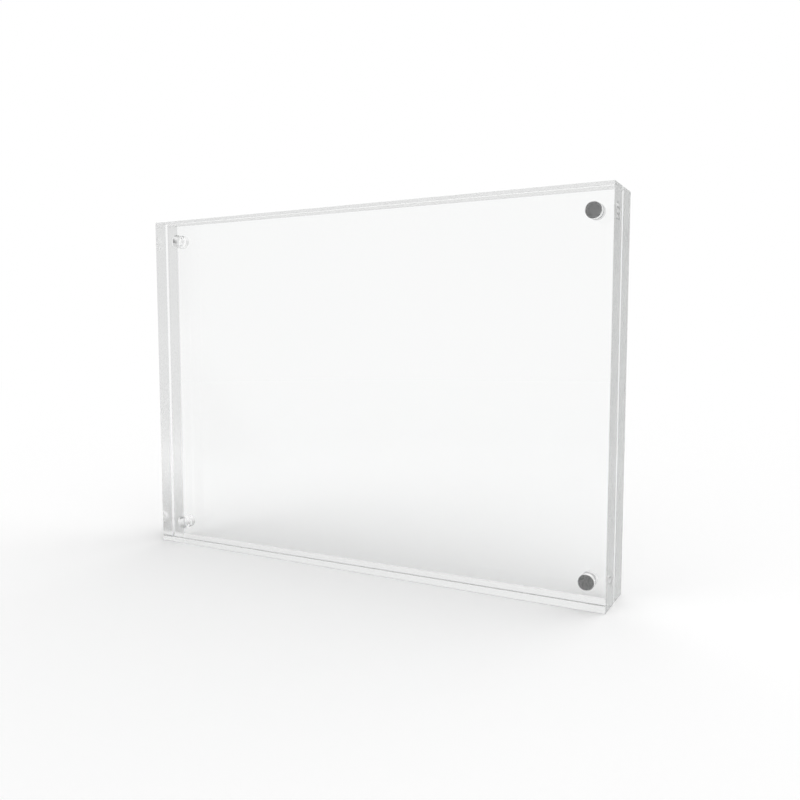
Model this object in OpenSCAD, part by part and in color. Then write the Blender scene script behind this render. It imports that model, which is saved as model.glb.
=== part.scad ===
// Acrylic block frame: two thick clear blocks that hold a print between them.
// Each block has a blind pocket near every corner of its mating face. The two pockets
// on the right hold disc magnets, which pull the blocks together, and the two on the
// left are empty. Each magnet stands a little proud of its block, so the pairs meet
// half way and keep a narrow gap open for the print.
// The frame stands on its long edge. X runs across its width, Y from front to back
// and Z up, and the origin is the middle of its underside.

/* [Blocks] */
// Width of each block, along the edge that it stands on
block_w = 179; // [89:1:300]
// Height of each block
block_h = 127; // [89:1:300]
// Thickness of each block, from its outer face to its mating face
block_t = 10; // [8:0.5:25]
// Gap between the two mating faces, where the print goes
gap = 1; // [0.4:0.1:1.6]
// Width of the fine chamfer along every polished edge
edge_chamfer = 0.15; // [0.05:0.05:1]

/* [Magnets] */
// Diameter of each disc magnet
magnet_d = 5; // [3:0.5:8]
// Thickness of each disc magnet
magnet_t = 3; // [2:0.5:5]
// Width of the chamfer on the rim of each magnet
magnet_chamfer = 0.2; // [0.05:0.05:0.4]

/* [Pockets] */
// Distance from a pocket's centre to the two nearest block edges
pocket_inset = 7.2; // [6:0.1:15]
// Width of the open ring between a magnet and its pocket's wall
pocket_clearance = 0.05; // [0.05:0.05:0.5]
// Thickness of the bed of clear glue on a pocket's floor
glue_t = 0.3; // [0.05:0.05:0.5]
// Width of the rim of a magnet's face that the glue leaves bare
glue_margin = 0.2; // [0.1:0.1:0.6]

/* [Hidden] */
LEFT = -1;
RIGHT = 1;
BOTTOM = -1;
TOP = 1;
pocket_x = block_w / 2 - pocket_inset;
pocket_z = block_h / 2 - pocket_inset;
pocket_d = magnet_d + 2 * pocket_clearance;
glue_d = magnet_d - 2 * glue_margin;
round_fn = 64;

// Every shape below is drawn for the front half, in front of the plane Y = 0 where the
// magnets meet. The back half is its mirror image in that plane.
module back_half() {
    mirror([0, 1, 0]) children();
}

// Moves a shape from the middle of the blocks to the pocket in one corner, and lays its
// own Z axis along -Y, so that it grows forwards from the plane where magnets meet
module at_corner(side, end) {
    translate([side * pocket_x, 0, block_h / 2 + end * pocket_z])
        rotate([90, 0, 0])
            children();
}

// A rectangle centred on the origin with a fine chamfer on each corner
module chamfered_rectangle(width, height) {
    x = width / 2;
    y = height / 2;
    c = edge_chamfer;
    polygon([
        [-x + c, -y], [x - c, -y], [x, -y + c], [x, y - c],
        [x - c, y], [-x + c, y], [-x, y - c], [-x, -y + c],
    ]);
}

// The plain slab: its outline from above, from the front and from the side all have
// chamfered corners, so what the three share has a chamfer on each of its edges
module slab() {
    translate([0, -(gap + block_t) / 2, block_h / 2])
        intersection() {
            linear_extrude(block_h, center = true)
                chamfered_rectangle(block_w, block_t);
            rotate([90, 0, 0])
                linear_extrude(block_t, center = true)
                    chamfered_rectangle(block_w, block_h);
            rotate([90, 0, 90])
                linear_extrude(block_w, center = true)
                    chamfered_rectangle(block_t, block_h);
        }
}

// A slab with a blind, flat-floored pocket in each corner of its mating face
module block() {
    color([0.90, 0.93, 0.94, 0.35])
        difference() {
            slab();
            for (side = [LEFT, RIGHT], end = [BOTTOM, TOP])
                at_corner(side, end)
                    cylinder(d = pocket_d, h = magnet_t + glue_t, $fn = round_fn);
        }
}

// A plated disc with a chamfered rim, turned round its own axis
module magnet() {
    r = magnet_d / 2;
    c = magnet_chamfer;
    color([0.62, 0.62, 0.64])
        rotate_extrude($fn = round_fn)
            polygon([
                [0, 0], [r - c, 0], [r, c],
                [r, magnet_t - c], [r - c, magnet_t], [0, magnet_t],
            ]);
}

// The bed of clear glue between a magnet's hidden face and the floor of its pocket
module glue() {
    color([0.86, 0.88, 0.86, 0.6])
        translate([0, 0, magnet_t])
            cylinder(d = glue_d, h = glue_t, $fn = round_fn);
}

module front_block() { block(); }
module back_block() { back_half() block(); }

module front_magnet_top_right() { at_corner(RIGHT, TOP) magnet(); }
module front_magnet_bottom_right() { at_corner(RIGHT, BOTTOM) magnet(); }
module back_magnet_top_right() { back_half() at_corner(RIGHT, TOP) magnet(); }
module back_magnet_bottom_right() { back_half() at_corner(RIGHT, BOTTOM) magnet(); }

module front_glue_top_right() { at_corner(RIGHT, TOP) glue(); }
module front_glue_bottom_right() { at_corner(RIGHT, BOTTOM) glue(); }
module back_glue_top_right() { back_half() at_corner(RIGHT, TOP) glue(); }
module back_glue_bottom_right() { back_half() at_corner(RIGHT, BOTTOM) glue(); }

front_block();
back_block();
front_magnet_top_right();
front_magnet_bottom_right();
back_magnet_top_right();
back_magnet_bottom_right();
front_glue_top_right();
front_glue_bottom_right();
back_glue_top_right();
back_glue_bottom_right();
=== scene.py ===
import math

import bpy
from bpy.props import FloatProperty, FloatVectorProperty, IntProperty, PointerProperty
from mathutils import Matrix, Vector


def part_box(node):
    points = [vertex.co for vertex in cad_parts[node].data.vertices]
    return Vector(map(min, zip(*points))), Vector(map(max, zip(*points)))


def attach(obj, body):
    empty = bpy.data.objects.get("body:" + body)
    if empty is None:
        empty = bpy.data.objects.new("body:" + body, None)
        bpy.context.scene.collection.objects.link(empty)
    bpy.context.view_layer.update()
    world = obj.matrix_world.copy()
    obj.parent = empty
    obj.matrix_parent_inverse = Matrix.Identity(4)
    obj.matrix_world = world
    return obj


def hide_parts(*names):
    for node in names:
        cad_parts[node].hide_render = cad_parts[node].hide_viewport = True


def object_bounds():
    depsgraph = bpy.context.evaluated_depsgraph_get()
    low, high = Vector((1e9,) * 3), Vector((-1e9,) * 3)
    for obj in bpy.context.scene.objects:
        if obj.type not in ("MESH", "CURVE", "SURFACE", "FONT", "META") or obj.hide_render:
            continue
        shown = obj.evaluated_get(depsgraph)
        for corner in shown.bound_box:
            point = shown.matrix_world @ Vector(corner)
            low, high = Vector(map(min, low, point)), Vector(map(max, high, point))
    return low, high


bl_info = {
    "name": "Acrylic block frame",
    "version": (1, 0, 0),
    "blender": (4, 5, 0),
    "location": "View3D > Sidebar > Block frame",
    "description": "Builds a clear block photo frame with its magnets around a fixed CAD frame",
    "category": "Add Mesh",
}

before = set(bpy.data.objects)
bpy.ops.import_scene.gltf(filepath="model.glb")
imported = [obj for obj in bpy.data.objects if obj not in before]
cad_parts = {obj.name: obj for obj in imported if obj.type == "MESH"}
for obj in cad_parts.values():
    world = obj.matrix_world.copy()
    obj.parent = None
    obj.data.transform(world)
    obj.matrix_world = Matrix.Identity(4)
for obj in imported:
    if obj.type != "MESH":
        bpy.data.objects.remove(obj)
CAD_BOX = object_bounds()

# The front half lies in front of the plane Y = 0 where the magnets meet
HALVES = ("front", "back")
MAGNET_CORNERS = ("top_right", "bottom_right")

# How far the cutter of a pocket reaches past the block's mating face
CUTTER_REACH = 0.0004
# Faces across a magnet's rounded rim, and round a bed of glue
RIM_STEPS = 5
GLUE_SIDES = 48
GLUE_SEED = 1
# A face this flat to an axis and this large is one of a piece's plain flat faces
AXIS_FLAT = 0.99999
FLAT_AREA = 0.000004

# Repeats per metre of the noise patterns
CLOUD_SCALE = 30
WAVE_SCALE = 45
HAZE_SCALE = 900
GLUE_SCALE = 1500
# The parts of a noise value's range that are stretched over numbers and over colours
NUMBER_PART = (0.25, 0.75)
COLOUR_PART = (0.3, 0.7)
# How high the faint waves of the acrylic sheet are, and how rough its large faces get
WAVE_HEIGHT = 0.000004
SHEET_HAZE = 0.03
# Least and most of a changing tint or haze, as a share of the one in the settings
SHEET_TINTS = (0.998, 1)
EDGE_HAZES = (0.8, 1.2)
GRAIN_TINTS = (0.2, 1.8)
# Tints of the painted highlight on the magnets' round sides
SIDE_HIGHLIGHT_TINTS = (0.9, 1)
GLUE_TINTS = (0.98, 1)
# How far the plating's roughness varies to each side, and how deep its pits are
PLATING_SPREAD = 0.06
PIT_DEPTH = 0.00003
PIT_STRENGTH = 0.35
GLUE_INDEX = 1.48
GLUE_HAZE = (0.02, 0.08)

# The studio floor's width, and how far it lies below the blocks
FLOOR_WIDTH = 12
FLOOR_DROP = 0.00005
# Distances from the frame between which the floor's painted light in reflections goes from the near
# level to the room's level
NEAR_FLOOR = (0.12, 0.4)
# A ray that goes less far than this to the floor comes out of a block's underside
UNDER_REACH = 0.0005
# The dim wall, in front of the frame and to its left: the middle of its range of directions,
# and how far from that it is still fully dim and no longer dim at all
DIM_WALL_TURN = (math.radians(-146), math.radians(10), math.radians(14))
DIM_WALL_RISE = (0.4, 0.345, 0.425)
# Heights of direction between which the room in reflections takes on the overhead level
OVERHEAD_RISE = (0.2, 0.5)
# Light meets this many faces at most, which lets it out of the blocks after many reflections
BOUNCES = 64
# The camera's sensor in millimetres, and how near it sees in metres
SENSOR_WIDTH = 36
CLIP_START = 0.01


class BlockSettings(bpy.types.PropertyGroup):
    """The two acrylic blocks"""

    edge_round: FloatProperty(
        name="Edge rounding", description="Radius of the polished outer edges",
        default=0.0001, min=0.00002, max=0.001, unit="LENGTH", subtype="DISTANCE", precision=5)
    edge_haze: FloatProperty(
        name="Edge haze", description="Roughness of the machined and polished narrow faces",
        default=0.16, min=0, max=1, subtype="FACTOR")
    edge_steps: IntProperty(
        name="Edge steps", description="Faces across each rounded edge", default=4, min=1, max=12)
    pocket_clearance: FloatProperty(
        name="Pocket clearance", description="Open ring between a magnet and its pocket's wall",
        default=0.00005, min=0.00001, max=0.0005, unit="LENGTH", subtype="DISTANCE", precision=5)
    pocket_round: FloatProperty(
        name="Pocket floor rounding", description="Radius where a pocket's wall meets its floor",
        default=0.00006, min=0.00001, max=0.0005, unit="LENGTH", subtype="DISTANCE", precision=5)
    pocket_sides: IntProperty(
        name="Pocket sides", description="Faces round each pocket's wall", default=128, min=24, max=256)
    colour: FloatVectorProperty(
        name="Acrylic colour", description="Tint of the clear acrylic", subtype="COLOR", size=4,
        default=(0.995, 0.997, 0.996, 1), min=0, max=1)
    clearness: FloatVectorProperty(
        name="Colour in the depth", description="Colour of light that has gone far through the acrylic",
        subtype="COLOR", size=4, default=(0.85, 0.86, 0.855, 1), min=0, max=1)
    depth: FloatProperty(
        name="Depth density", description="How fast light takes on that colour, per metre",
        default=4, min=0, max=100)
    index: FloatProperty(
        name="Refractive index", description="How strongly the acrylic bends light",
        default=1.49, min=1, max=2)


class MagnetSettings(bpy.types.PropertyGroup):
    """The disc magnets"""

    rim_round: FloatProperty(
        name="Rim rounding", description="Radius of the rims of each disc",
        default=0.0002, min=0.00002, max=0.001, unit="LENGTH", subtype="DISTANCE", precision=5)
    sides: IntProperty(
        name="Sides", description="Faces round each disc", default=96, min=24, max=256)
    # Painted shade: the flat faces of the plating are painted this dark, for the dim room that they
    # mirror
    colour: FloatVectorProperty(
        name="Plating colour", description="Colour of the nickel plating", subtype="COLOR", size=4,
        default=(0.165, 0.165, 0.167, 1), min=0, max=1)
    # Painted highlight: the round sides of the same plating are painted far brighter, for the light
    # that they mirror
    side_painted_highlight: FloatVectorProperty(
        name="Side colour", description="Colour of the brighter plating on the discs' round sides",
        subtype="COLOR", size=4, default=(0.78, 0.78, 0.785, 1), min=0, max=1)
    roughness: FloatProperty(
        name="Plating roughness", description="Mean roughness of the plating",
        default=0.32, min=0, max=1, subtype="FACTOR")
    grain: FloatProperty(
        name="Grain size", description="Width of one grain of the satin plating",
        default=0.0006, min=0.00005, max=0.002, unit="LENGTH", subtype="DISTANCE", precision=5)


class GlueSettings(bpy.types.PropertyGroup):
    """The beds of clear glue under the magnets"""

    air_film: FloatProperty(
        name="Air film", description="Space between the glue and the faces that it touches",
        default=0.000004, min=0.000001, max=0.0001, unit="LENGTH", subtype="DISTANCE", precision=6)
    rim_wobble: FloatProperty(
        name="Rim wobble", description="How unevenly the glue's rim has spread",
        default=0.00004, min=0, max=0.0003, unit="LENGTH", subtype="DISTANCE", precision=5)
    colour: FloatVectorProperty(
        name="Glue colour", description="Tint of the clear glue", subtype="COLOR", size=4,
        default=(0.97, 0.975, 0.97, 1), min=0, max=1)


class StageSettings(bpy.types.PropertyGroup):
    """The floor, the light and the camera"""

    floor_level: FloatProperty(
        name="Floor level", description="How pale the matt floor is",
        default=0.99, min=0, max=1, subtype="FACTOR")
    fade_start: FloatProperty(
        name="Fade start", description="Distance from the frame at which the floor starts to fade",
        default=0.25, min=0, max=5, unit="LENGTH", subtype="DISTANCE")
    fade_end: FloatProperty(
        name="Fade end", description="Distance from the frame at which only the backdrop is left",
        default=1.2, min=0.1, max=6, unit="LENGTH", subtype="DISTANCE")
    room_level: FloatProperty(
        name="Room level", description="Brightness of the room in reflections",
        default=0.79, min=0, max=1, subtype="FACTOR")
    dim_level: FloatProperty(
        name="Dim wall level", description="Brightness of the dim wall in front on the left",
        default=0.27, min=0, max=1, subtype="FACTOR")
    top_level: FloatProperty(
        name="Overhead level", description="Brightness of the lights high up in the room",
        default=0.94, min=0, max=2)
    # Painted light: in reflections the floor's colour is painted this bright by the frame, like a pool
    # of light
    near_floor_painted_light: FloatProperty(
        name="Near floor level", description="Brightness in reflections of the floor by the frame",
        default=0.97, min=0, max=1, subtype="FACTOR")
    # Painted shade: the floor right under the blocks glows at this fixed level in place of the light
    # that reaches it
    under_painted_shade: FloatProperty(
        name="Covered floor level", description="Brightness of the floor right under the blocks",
        default=0.7, min=0, max=1, subtype="FACTOR")
    through_level: FloatProperty(
        name="Light through the blocks", description="Light that reaches the floor through the acrylic",
        default=0.78, min=0, max=1, subtype="FACTOR")
    glint_level: FloatProperty(
        name="Light off the blocks", description="Light that reaches the floor off the acrylic's faces",
        default=0.6, min=0, max=1, subtype="FACTOR")
    guided_level: FloatProperty(
        name="Light out of the blocks", description="Light that was mirrored inside the acrylic",
        default=0.1, min=0, max=1, subtype="FACTOR")
    light_side: FloatVectorProperty(
        name="Light side", description="Side that most of the light on the floor comes from",
        subtype="XYZ", size=3, default=(0.7, 0, 0))
    light_across: FloatProperty(
        name="Light across", description="How much more light comes from front and back than the sides",
        default=0.8, min=0, max=1)
    camera_place: FloatVectorProperty(
        name="Camera place", description="Where the camera stands", subtype="TRANSLATION", size=3,
        default=(0.143035, -0.238183, 0.082807), unit="LENGTH", precision=6)
    camera_tilt: FloatProperty(
        name="Camera tilt", description="How far the camera looks down",
        default=math.radians(4.7357), subtype="ANGLE", unit="ROTATION")
    camera_turn: FloatProperty(
        name="Camera turn", description="How far the camera is turned to the left of +Y",
        default=math.radians(28.3894), subtype="ANGLE", unit="ROTATION")
    camera_lens: FloatProperty(
        name="Lens", description="Focal length in millimetres on a 36 mm sensor",
        default=35, min=10, max=200)


def settings(group):
    """One of the setting groups that register() puts on the scene."""
    return getattr(bpy.context.scene, "block_frame_" + group)


# Places in the CAD frame

def centre(node):
    """The middle of a CAD node's box."""
    low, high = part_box(node)
    return (low + high) / 2


def pocket_places():
    """The middles of the front block's four pockets: its magnets' and their mirror images."""
    middle = centre("front_block").x
    places = []
    for corner in MAGNET_CORNERS:
        spot = centre("front_magnet_" + corner)
        other = spot.copy()
        other.x = 2 * middle - spot.x
        places += [spot, other]
    return places


# Modelling

def deselect():
    """Leaves nothing selected, in object mode."""
    if bpy.context.mode != "OBJECT":
        bpy.ops.object.mode_set(mode="OBJECT")
    bpy.ops.object.select_all(action="DESELECT")


def settle(name):
    """Names the new active object and puts its place, turn and scale into its mesh."""
    piece = bpy.context.active_object
    piece.name = name
    piece.data.name = name
    bpy.ops.object.transform_apply(location=True, rotation=True, scale=True)
    return piece


def add_box(name, low, high):
    """A box between two corners."""
    deselect()
    bpy.ops.mesh.primitive_cube_add(size=1, location=(low + high) / 2, scale=high - low)
    return settle(name)


def add_disc(name, x, z, near, far, radius, sides):
    """A cylinder along Y, between two Y values."""
    deselect()
    bpy.ops.mesh.primitive_cylinder_add(
        vertices=sides, radius=radius, depth=abs(far - near),
        location=(x, (near + far) / 2, z), rotation=(math.pi / 2, 0, 0))
    return settle(name)


def copy_of(piece, name, shift=(0, 0, 0), turn=0):
    """A copy of a piece with its own mesh, turned about the Z axis and then moved along."""
    deselect()
    bpy.context.view_layer.objects.active = piece
    piece.select_set(True)
    bpy.ops.object.duplicate()
    bpy.ops.transform.rotate(value=turn, orient_axis="Z", center_override=(0, 0, 0))
    bpy.ops.transform.translate(value=shift)
    return settle(name)


def select_edges(piece, test):
    """Goes to edit mode with only those edges selected whose two ends pass the test."""
    bpy.ops.object.mode_set(mode="EDIT")
    bpy.ops.mesh.select_mode(type="EDGE")
    bpy.ops.mesh.select_all(action="DESELECT")
    bpy.ops.object.mode_set(mode="OBJECT")
    points = piece.data.vertices
    for edge in piece.data.edges:
        edge.select = all(test(points[i].co) for i in edge.vertices)
    bpy.ops.object.mode_set(mode="EDIT")


def round_edges(piece, test, radius, steps):
    """Rounds the edges whose two ends pass the test."""
    select_edges(piece, test)
    bpy.ops.mesh.bevel(offset=radius, segments=steps, profile=0.5, affect="EDGES")
    bpy.ops.object.mode_set(mode="OBJECT")


def shade(piece):
    """Shades the round faces smooth, and keeps each large flat face truly flat."""
    bpy.ops.object.mode_set(mode="EDIT")
    bpy.ops.mesh.select_mode(type="FACE")
    bpy.ops.mesh.select_all(action="SELECT")
    bpy.ops.mesh.normals_make_consistent(inside=False)
    bpy.ops.mesh.faces_shade_smooth()
    bpy.ops.mesh.select_all(action="DESELECT")
    bpy.ops.object.mode_set(mode="OBJECT")
    for face in piece.data.polygons:
        straight = max(abs(part) for part in face.normal) > AXIS_FLAT
        face.select = straight and face.area > FLAT_AREA
    bpy.ops.object.mode_set(mode="EDIT")
    bpy.ops.mesh.region_to_loop()
    bpy.ops.mesh.mark_sharp()
    bpy.ops.mesh.select_mode(type="FACE")
    bpy.ops.object.mode_set(mode="OBJECT")


def cut(piece, cutter):
    """Takes one object's shape out of another and removes the cutter."""
    deselect()
    bpy.context.view_layer.objects.active = piece
    piece.select_set(True)
    modifier = piece.modifiers.new("cut", "BOOLEAN")
    modifier.operation = "DIFFERENCE"
    modifier.solver = "EXACT"
    modifier.object = cutter
    bpy.ops.object.modifier_apply(modifier=modifier.name)
    bpy.data.objects.remove(cutter)


def finish_piece(piece, half, node, material):
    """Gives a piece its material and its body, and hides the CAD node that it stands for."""
    piece.data.materials.clear()
    piece.data.materials.append(material)
    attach(piece, half)
    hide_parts(node)
    deselect()


def fill_pockets(pattern, part, word, material):
    """Puts a copy of a piece at each CAD node of one part, and removes the first one."""
    start = centre(f"front_{part}_{MAGNET_CORNERS[0]}")
    for half in HALVES:
        for corner in MAGNET_CORNERS:
            node = f"{half}_{part}_{corner}"
            piece = copy_of(pattern, f"{half}_{word}_{corner}", centre(node) - start)
            finish_piece(piece, half, node, material)
    bpy.data.objects.remove(pattern)


def make_cutter(place):
    """The shape of one pocket, from its finely rounded floor to past its mouth."""
    wanted = settings("blocks")
    magnet_low, magnet_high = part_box(f"front_magnet_{MAGNET_CORNERS[0]}")
    radius = (magnet_high.x - magnet_low.x) / 2 + wanted.pocket_clearance
    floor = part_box(f"front_glue_{MAGNET_CORNERS[0]}")[0].y
    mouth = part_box("front_block")[1].y + CUTTER_REACH
    cutter = add_disc("pocket_cutter", place.x, place.z, mouth, floor, radius, wanted.pocket_sides)
    round_edges(
        cutter, lambda point: abs(point.y - floor) < wanted.pocket_round / 2,
        wanted.pocket_round, wanted.edge_steps)
    return cutter


def make_block():
    """The front block: a slab with polished, finely rounded edges and four blind pockets."""
    wanted = settings("blocks")
    block = add_box("front_slab", *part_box("front_block"))
    round_edges(block, lambda point: True, wanted.edge_round, wanted.edge_steps)
    places = pocket_places()
    pattern = make_cutter(places[0])
    for place in places:
        cut(block, copy_of(pattern, "pocket_copy", place - places[0]))
    bpy.data.objects.remove(pattern)
    shade(block)
    return block


def make_magnet():
    """One disc magnet with rounded rims."""
    wanted = settings("magnets")
    low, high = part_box(f"front_magnet_{MAGNET_CORNERS[0]}")
    middle = (low + high) / 2
    magnet = add_disc(
        "magnet", middle.x, middle.z, low.y, high.y, (high.x - low.x) / 2, wanted.sides)
    for end in (low.y, high.y):
        round_edges(
            magnet, lambda point: abs(point.y - end) < wanted.rim_round / 2,
            wanted.rim_round, RIM_STEPS)
    shade(magnet)
    return magnet


def make_glue():
    """One bed of clear glue, with the uneven rim that it spread to."""
    wanted = settings("glue")
    low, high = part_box(f"front_glue_{MAGNET_CORNERS[0]}")
    middle = (low + high) / 2
    near, far = low.y + wanted.air_film, high.y - wanted.air_film
    radius = (high.x - low.x) / 2 - wanted.rim_wobble
    glue = add_disc("glue", middle.x, middle.z, near, far, radius, GLUE_SIDES)
    bpy.ops.object.mode_set(mode="EDIT")
    bpy.ops.mesh.select_mode(type="VERT")
    bpy.ops.mesh.select_all(action="SELECT")
    bpy.ops.transform.vertex_random(offset=wanted.rim_wobble, uniform=1, normal=0, seed=GLUE_SEED)
    bpy.ops.object.mode_set(mode="OBJECT")
    for point in glue.data.vertices:
        point.co.y = near if abs(point.co.y - near) < abs(point.co.y - far) else far
    shade(glue)
    return glue


# Node helpers: each adds nodes to a tree and gives the socket with their result. A value
# that they take is a number, a vector or a socket.

def feed(tree, sockets, values):
    """Gives a node's inputs their values, in order."""
    for socket, value in zip(sockets, values):
        if isinstance(value, bpy.types.NodeSocket):
            tree.links.new(value, socket)
        else:
            socket.default_value = value


def calculate(tree, operation, *values):
    """A Math node."""
    node = tree.nodes.new("ShaderNodeMath")
    node.operation = operation
    feed(tree, node.inputs, values)
    return node.outputs["Value"]


def vector(tree, operation, *values, result="Vector"):
    """A Vector Math node."""
    node = tree.nodes.new("ShaderNodeVectorMath")
    node.operation = operation
    feed(tree, node.inputs, values)
    return node.outputs[result]


def parts_of(tree, value):
    """The X, Y and Z of a vector."""
    node = tree.nodes.new("ShaderNodeSeparateXYZ")
    tree.links.new(value, node.inputs[0])
    return node.outputs


def over_half(tree, value):
    """1 where a value is above a half, and otherwise 0."""
    return calculate(tree, "GREATER_THAN", value, 0.5)


def choose(tree, test, no, yes):
    """One of two values."""
    node = tree.nodes.new("ShaderNodeMapRange")
    sockets = [node.inputs[name] for name in ("Value", "To Min", "To Max")]
    feed(tree, sockets, (test, no, yes))
    return node.outputs["Result"]


def ramp_up(tree, value, start, end):
    """0 below the start, 1 above the end, and smooth between them."""
    node = tree.nodes.new("ShaderNodeMapRange")
    node.interpolation_type = "SMOOTHSTEP"
    sockets = [node.inputs[name] for name in ("Value", "From Min", "From Max")]
    feed(tree, sockets, (value, start, end))
    return node.outputs["Result"]


def closeness(tree, value, middle, near, far):
    """1 where a value is nearer to the middle than `near`, and 0 where it is beyond `far`."""
    offset = calculate(tree, "ABSOLUTE", calculate(tree, "SUBTRACT", value, middle))
    return ramp_up(tree, offset, far, near)


def noise(tree, place, scale, detail, roughness=0.5):
    """A noise texture."""
    node = tree.nodes.new("ShaderNodeTexNoise")
    sockets = [node.inputs[name] for name in ("Vector", "Scale", "Detail", "Roughness")]
    feed(tree, sockets, (place, scale, detail, roughness))
    return node.outputs["Fac"]


def spread(tree, value, low, high):
    """Maps the middle half of a noise value to a range."""
    node = tree.nodes.new("ShaderNodeMapRange")
    sockets = [node.inputs[name] for name in ("Value", "From Min", "From Max", "To Min", "To Max")]
    feed(tree, sockets, (value, *NUMBER_PART, low, high))
    return node.outputs["Result"]


def tinted(tree, value, colour, tints):
    """Maps the middle of a noise value to a colour between two of its tints."""
    node = tree.nodes.new("ShaderNodeValToRGB")
    for element, position, tint in zip(node.color_ramp.elements, COLOUR_PART, tints):
        element.position = position
        element.color = [min(1, part * tint) for part in colour[:3]] + [colour[3]]
    tree.links.new(value, node.inputs["Fac"])
    return node.outputs["Color"]


def bump(tree, height, strength, distance):
    """A surface normal that follows a pattern's height."""
    node = tree.nodes.new("ShaderNodeBump")
    sockets = [node.inputs[name] for name in ("Height", "Strength", "Distance")]
    feed(tree, sockets, (height, strength, distance))
    return node.outputs["Normal"]


# Materials

def new_material(name):
    """A material with a Principled shader, and its node tree and shader."""
    material = bpy.data.materials.new(name)
    material.use_nodes = True
    tree = material.node_tree
    return material, tree, tree.nodes["Principled BSDF"]


def object_place(tree):
    """Where on the piece a point lies, in Object coordinates."""
    return tree.nodes.new("ShaderNodeTexCoord").outputs["Object"]


def near_edge(tree, place):
    """1 on the narrow faces round the blocks and on their rounded edges, and otherwise 0."""
    low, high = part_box("front_block")
    reach = (high - low) / 2
    inner = settings("blocks").edge_round
    offset = vector(tree, "ABSOLUTE", vector(tree, "SUBTRACT", place, (low + high) / 2))
    parts = parts_of(tree, offset)
    return calculate(
        tree, "MAXIMUM",
        calculate(tree, "GREATER_THAN", parts["X"], reach.x - inner),
        calculate(tree, "GREATER_THAN", parts["Z"], reach.z - inner))


def acrylic_material():
    """Clear cast acrylic: polished, with the sheet's faint waves and hazier narrow faces."""
    wanted = settings("blocks")
    material, tree, shader = new_material("acrylic")
    shader.inputs["Transmission Weight"].default_value = 1
    shader.inputs["IOR"].default_value = wanted.index
    place = object_place(tree)

    tint = tinted(tree, noise(tree, place, CLOUD_SCALE, 2), wanted.colour, SHEET_TINTS)
    haze = noise(tree, place, HAZE_SCALE, 6, 0.7)
    edge_hazes = [share * wanted.edge_haze for share in EDGE_HAZES]
    polish = choose(
        tree, near_edge(tree, place), spread(tree, haze, 0, SHEET_HAZE),
        spread(tree, haze, *edge_hazes))
    waves = bump(tree, noise(tree, place, WAVE_SCALE, 1), 1, WAVE_HEIGHT)
    tree.links.new(tint, shader.inputs["Base Color"])
    tree.links.new(polish, shader.inputs["Roughness"])
    tree.links.new(waves, shader.inputs["Normal"])

    absorption = tree.nodes.new("ShaderNodeVolumeAbsorption")
    absorption.inputs["Color"].default_value = wanted.clearness
    absorption.inputs["Density"].default_value = wanted.depth
    tree.links.new(absorption.outputs["Volume"], tree.nodes["Material Output"].inputs["Volume"])
    return material


def painted_face_mask(tree):
    """1 on the flat faces of a disc that lies along Y, and 0 on its round side. It picks between the
    painted shade of the faces and the painted highlight of the side.
    """
    normal = tree.nodes.new("ShaderNodeNewGeometry").outputs["Normal"]
    return over_half(tree, calculate(tree, "ABSOLUTE", parts_of(tree, normal)["Y"]))


def nickel_material():
    """Satin nickel plating on a magnet: a fine grain in its colour, gloss and surface, with painted
    shade in the dark colour of its flat faces and a painted highlight in the bright colour of its round
    side.
    """
    wanted = settings("magnets")
    material, tree, shader = new_material("nickel")
    shader.inputs["Metallic"].default_value = 1
    place = object_place(tree)

    grain = noise(tree, place, 1 / wanted.grain, 3, 0.6)
    # Painted light: the flat faces take the painted dark shade, the round side the painted bright
    # highlight
    lit_and_shaded_tones = tree.nodes.new("ShaderNodeMix")
    lit_and_shaded_tones.data_type = "RGBA"
    tree.links.new(painted_face_mask(tree), lit_and_shaded_tones.inputs["Factor"])
    tree.links.new(tinted(tree, grain, wanted.side_painted_highlight, SIDE_HIGHLIGHT_TINTS), lit_and_shaded_tones.inputs["A"])
    tree.links.new(tinted(tree, grain, wanted.colour, GRAIN_TINTS), lit_and_shaded_tones.inputs["B"])

    gloss = spread(
        tree, grain, wanted.roughness - PLATING_SPREAD, wanted.roughness + PLATING_SPREAD)
    pits = bump(tree, noise(tree, place, 2 / wanted.grain, 2), PIT_STRENGTH, PIT_DEPTH)
    tree.links.new(lit_and_shaded_tones.outputs["Result"], shader.inputs["Base Color"])
    tree.links.new(gloss, shader.inputs["Roughness"])
    tree.links.new(pits, shader.inputs["Normal"])
    return material


def glue_material():
    """Clear glue, set with a slightly uneven surface."""
    wanted = settings("glue")
    material, tree, shader = new_material("clear_glue")
    shader.inputs["Transmission Weight"].default_value = 1
    shader.inputs["IOR"].default_value = GLUE_INDEX

    cloud = noise(tree, object_place(tree), GLUE_SCALE, 3)
    tree.links.new(tinted(tree, cloud, wanted.colour, GLUE_TINTS), shader.inputs["Base Color"])
    tree.links.new(spread(tree, cloud, *GLUE_HAZE), shader.inputs["Roughness"])
    return material


# The stage

def dark_side(tree, direction):
    """1 towards the dim wall in front on the left, 0 away from it."""
    parts = parts_of(tree, direction)
    turn = calculate(tree, "ARCTAN2", parts["Y"], parts["X"])
    wide = closeness(tree, turn, *DIM_WALL_TURN)
    high = closeness(tree, parts["Z"], *DIM_WALL_RISE)
    return calculate(tree, "MULTIPLY", wide, high)


def glow(tree, strength):
    """A white emission."""
    node = tree.nodes.new("ShaderNodeEmission")
    feed(tree, [node.inputs["Strength"]], [strength])
    return node.outputs["Emission"]


def blend(tree, test, no, yes):
    """One of two shaders, or a mix of them."""
    node = tree.nodes.new("ShaderNodeMixShader")
    feed(tree, node.inputs, (test, no, yes))
    return node.outputs["Shader"]


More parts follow.
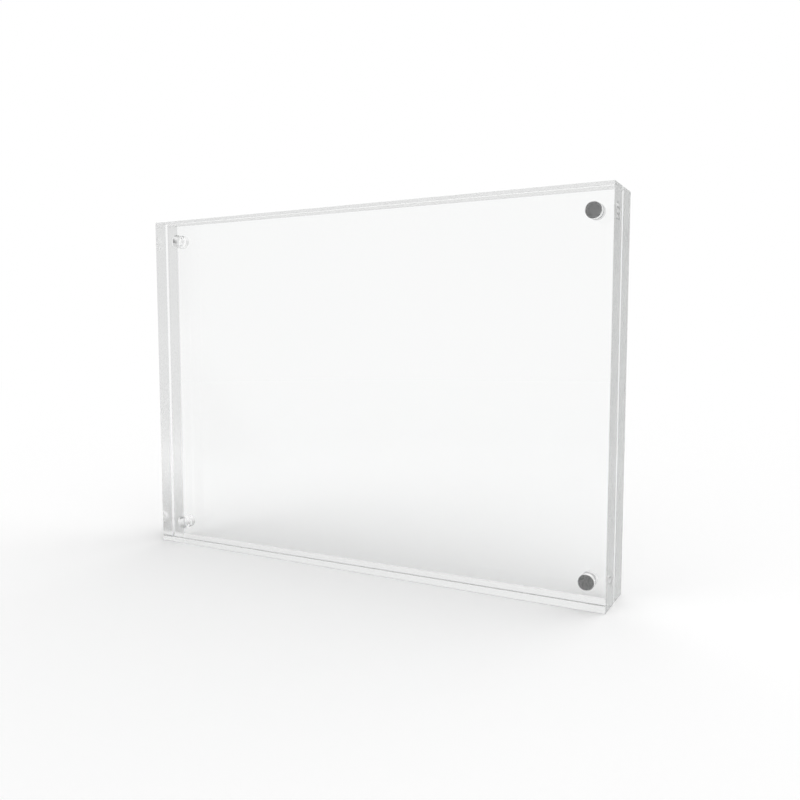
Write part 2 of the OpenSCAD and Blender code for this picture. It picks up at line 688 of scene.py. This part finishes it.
def floor_material():
    """A matt pale floor that fades to the plain backdrop far from the object.

    A ray that leaves a block's underside meets the floor at once. There the floor glows at a painted
    shade level of its own, in place of the light that comes down inside the blocks.
    """
    wanted = settings("stage")
    material, tree, shader = new_material("studio_floor")
    shader.inputs["Roughness"].default_value = 1
    shader.inputs["Specular IOR Level"].default_value = 0
    place = object_place(tree)
    path = tree.nodes.new("ShaderNodeLightPath").outputs
    distance = vector(tree, "LENGTH", place, result="Value")

    # Painted light: in reflections the floor's colour is painted brighter near the frame like a pool of
    # light, and darker towards the dim wall as painted shade
    wall = choose(
        tree, dark_side(tree, vector(tree, "NORMALIZE", place)),
        wanted.room_level, wanted.dim_level)
    mirrored = choose(tree, ramp_up(tree, distance, *NEAR_FLOOR), wanted.near_floor_painted_light, wall)
    level = choose(tree, over_half(tree, path["Glossy Depth"]), 1, mirrored)
    shaded = calculate(tree, "MULTIPLY", level, wanted.floor_level)
    tint = tree.nodes.new("ShaderNodeCombineColor")
    feed(tree, tint.inputs, (shaded, shaded, shaded))
    tree.links.new(tint.outputs["Color"], shader.inputs["Base Color"])

    far = ramp_up(tree, distance, wanted.fade_start, wanted.fade_end)
    open_floor = blend(tree, far, shader.outputs["BSDF"], glow(tree, level))
    # Painted shade: rays that come out of a block's underside see the floor glow at the painted shade
    # level
    close = calculate(tree, "LESS_THAN", path["Ray Length"], UNDER_REACH)
    under = choose(tree, over_half(tree, path["Diffuse Depth"]), close, 0)
    surface = blend(tree, under, open_floor, glow(tree, wanted.under_painted_shade))
    tree.links.new(surface, tree.nodes["Material Output"].inputs["Surface"])
    return material


def lamp_light(tree, direction, path):
    """The light that falls on the floor, from each direction.

    It is stronger from one side, and dimmer where it comes through the blocks, off their
    faces or out of them after a reflection inside.
    """
    wanted = settings("stage")
    inside = over_half(tree, path["Transmission Depth"])
    bounced = choose(tree, inside, wanted.glint_level, wanted.guided_level)
    reflected = over_half(tree, path["Glossy Depth"])
    through = choose(tree, reflected, wanted.through_level, bounced)
    soft = choose(tree, path["Is Diffuse Ray"], through, 1)

    side = vector(tree, "DOT_PRODUCT", direction, wanted.light_side, result="Value")
    squares = vector(tree, "MULTIPLY", direction, direction)
    axes = (-wanted.light_across, wanted.light_across, 0)
    across = vector(tree, "DOT_PRODUCT", squares, axes, result="Value")
    lean = calculate(tree, "MAXIMUM", calculate(tree, "ADD", side, across), -1)
    return calculate(tree, "MULTIPLY_ADD", lean, soft, soft)


def room_light(tree, direction):
    """The room as the acrylic mirrors it."""
    wanted = settings("stage")
    height = calculate(tree, "ABSOLUTE", parts_of(tree, direction)["Z"])
    room = choose(
        tree, ramp_up(tree, height, *OVERHEAD_RISE), wanted.room_level, wanted.top_level)
    return choose(tree, dark_side(tree, direction), room, wanted.dim_level)


def make_world():
    """A studio that is white where it is seen, and has levels of its own in reflections."""
    world = bpy.data.worlds.new("studio_world")
    bpy.context.scene.world = world
    world.use_nodes = True
    world.cycles.sampling_method = "NONE"
    tree = world.node_tree
    direction = tree.nodes.new("ShaderNodeTexCoord").outputs["Generated"]
    path = tree.nodes.new("ShaderNodeLightPath").outputs

    seen = choose(tree, over_half(tree, path["Glossy Depth"]), 1, room_light(tree, direction))
    level = choose(
        tree, over_half(tree, path["Diffuse Depth"]), seen, lamp_light(tree, direction, path))
    background = tree.nodes["Background"]
    tree.links.new(level, background.inputs["Strength"])
    background.inputs["Color"].default_value = (1, 1, 1, 1)


def make_floor():
    """The floor, a hair below the blocks so that the two don't share one plane."""
    deselect()
    height = CAD_BOX[0].z - FLOOR_DROP
    bpy.ops.mesh.primitive_plane_add(size=FLOOR_WIDTH, location=(0, 0, height))
    floor = settle("studio_floor")
    floor.data.materials.append(floor_material())
    deselect()


def make_camera():
    """The camera at the photograph's angle."""
    wanted = settings("stage")
    deselect()
    bpy.ops.object.camera_add(
        location=wanted.camera_place,
        rotation=(math.pi / 2 - wanted.camera_tilt, 0, wanted.camera_turn))
    camera = bpy.context.active_object
    camera.name = "studio_camera"
    camera.data.lens = wanted.camera_lens
    camera.data.sensor_width = SENSOR_WIDTH
    camera.data.clip_start = CLIP_START
    bpy.context.scene.camera = camera
    deselect()


def set_view():
    """Plain colours, and enough bounces for light that is caught in the blocks."""
    scene = bpy.context.scene
    scene.view_settings.view_transform = "Standard"
    scene.cycles.max_bounces = BOUNCES
    scene.cycles.glossy_bounces = BOUNCES
    scene.cycles.transmission_bounces = BOUNCES
    scene.cycles.blur_glossy = 0
    scene.cycles.caustics_reflective = True
    scene.cycles.caustics_refractive = True


class BLOCK_FRAME_OT_blocks(bpy.types.Operator):
    """Builds the two acrylic blocks with their pockets"""

    bl_idname = "block_frame.blocks"
    bl_label = "Add blocks"

    def execute(self, context):
        material = acrylic_material()
        front = make_block()
        back = copy_of(front, "back_slab", turn=math.pi)
        finish_piece(front, "front", "front_block", material)
        finish_piece(back, "back", "back_block", material)
        return {"FINISHED"}


class BLOCK_FRAME_OT_magnets(bpy.types.Operator):
    """Builds the disc magnets in the right-hand pockets"""

    bl_idname = "block_frame.magnets"
    bl_label = "Add magnets"

    def execute(self, context):
        fill_pockets(make_magnet(), "magnet", "disc", nickel_material())
        return {"FINISHED"}


class BLOCK_FRAME_OT_glue(bpy.types.Operator):
    """Builds the beds of clear glue under the magnets"""

    bl_idname = "block_frame.glue"
    bl_label = "Add glue"

    def execute(self, context):
        fill_pockets(make_glue(), "glue", "bed", glue_material())
        return {"FINISHED"}


class BLOCK_FRAME_OT_stage(bpy.types.Operator):
    """Builds the floor, the light and the camera"""

    bl_idname = "block_frame.stage"
    bl_label = "Add stage"

    def execute(self, context):
        make_floor()
        make_world()
        make_camera()
        set_view()
        return {"FINISHED"}


class BLOCK_FRAME_PT_panel(bpy.types.Panel):
    """Lists the pieces of the frame and their settings"""

    bl_idname = "BLOCK_FRAME_PT_panel"
    bl_label = "Block frame"
    bl_space_type = "VIEW_3D"
    bl_region_type = "UI"
    bl_category = "Block frame"

    def draw(self, context):
        for group, operator in STEPS.items():
            box = self.layout.box()
            box.operator(operator.bl_idname)
            values = getattr(context.scene, "block_frame_" + group)
            for name in values.__annotations__:
                box.prop(values, name)


GROUPS = {
    "blocks": BlockSettings,
    "magnets": MagnetSettings,
    "glue": GlueSettings,
    "stage": StageSettings,
}
STEPS = {
    "blocks": BLOCK_FRAME_OT_blocks,
    "magnets": BLOCK_FRAME_OT_magnets,
    "glue": BLOCK_FRAME_OT_glue,
    "stage": BLOCK_FRAME_OT_stage,
}


def register():
    """Adds the classes to Blender and the setting groups to its scenes."""
    for group in GROUPS.values():
        bpy.utils.register_class(group)
    for operator in STEPS.values():
        bpy.utils.register_class(operator)
    bpy.utils.register_class(BLOCK_FRAME_PT_panel)
    for name, group in GROUPS.items():
        setattr(bpy.types.Scene, "block_frame_" + name, PointerProperty(type=group))


def unregister():
    """Takes them away again."""
    for name in GROUPS:
        delattr(bpy.types.Scene, "block_frame_" + name)
    bpy.utils.unregister_class(BLOCK_FRAME_PT_panel)
    for operator in reversed(STEPS.values()):
        bpy.utils.unregister_class(operator)
    for group in reversed(GROUPS.values()):
        bpy.utils.unregister_class(group)


def main():
    """Builds the frame and its stage."""
    register()
    bpy.ops.block_frame.blocks()
    bpy.ops.block_frame.magnets()
    bpy.ops.block_frame.glue()
    bpy.ops.block_frame.stage()


if __name__ == "__main__":
    main()
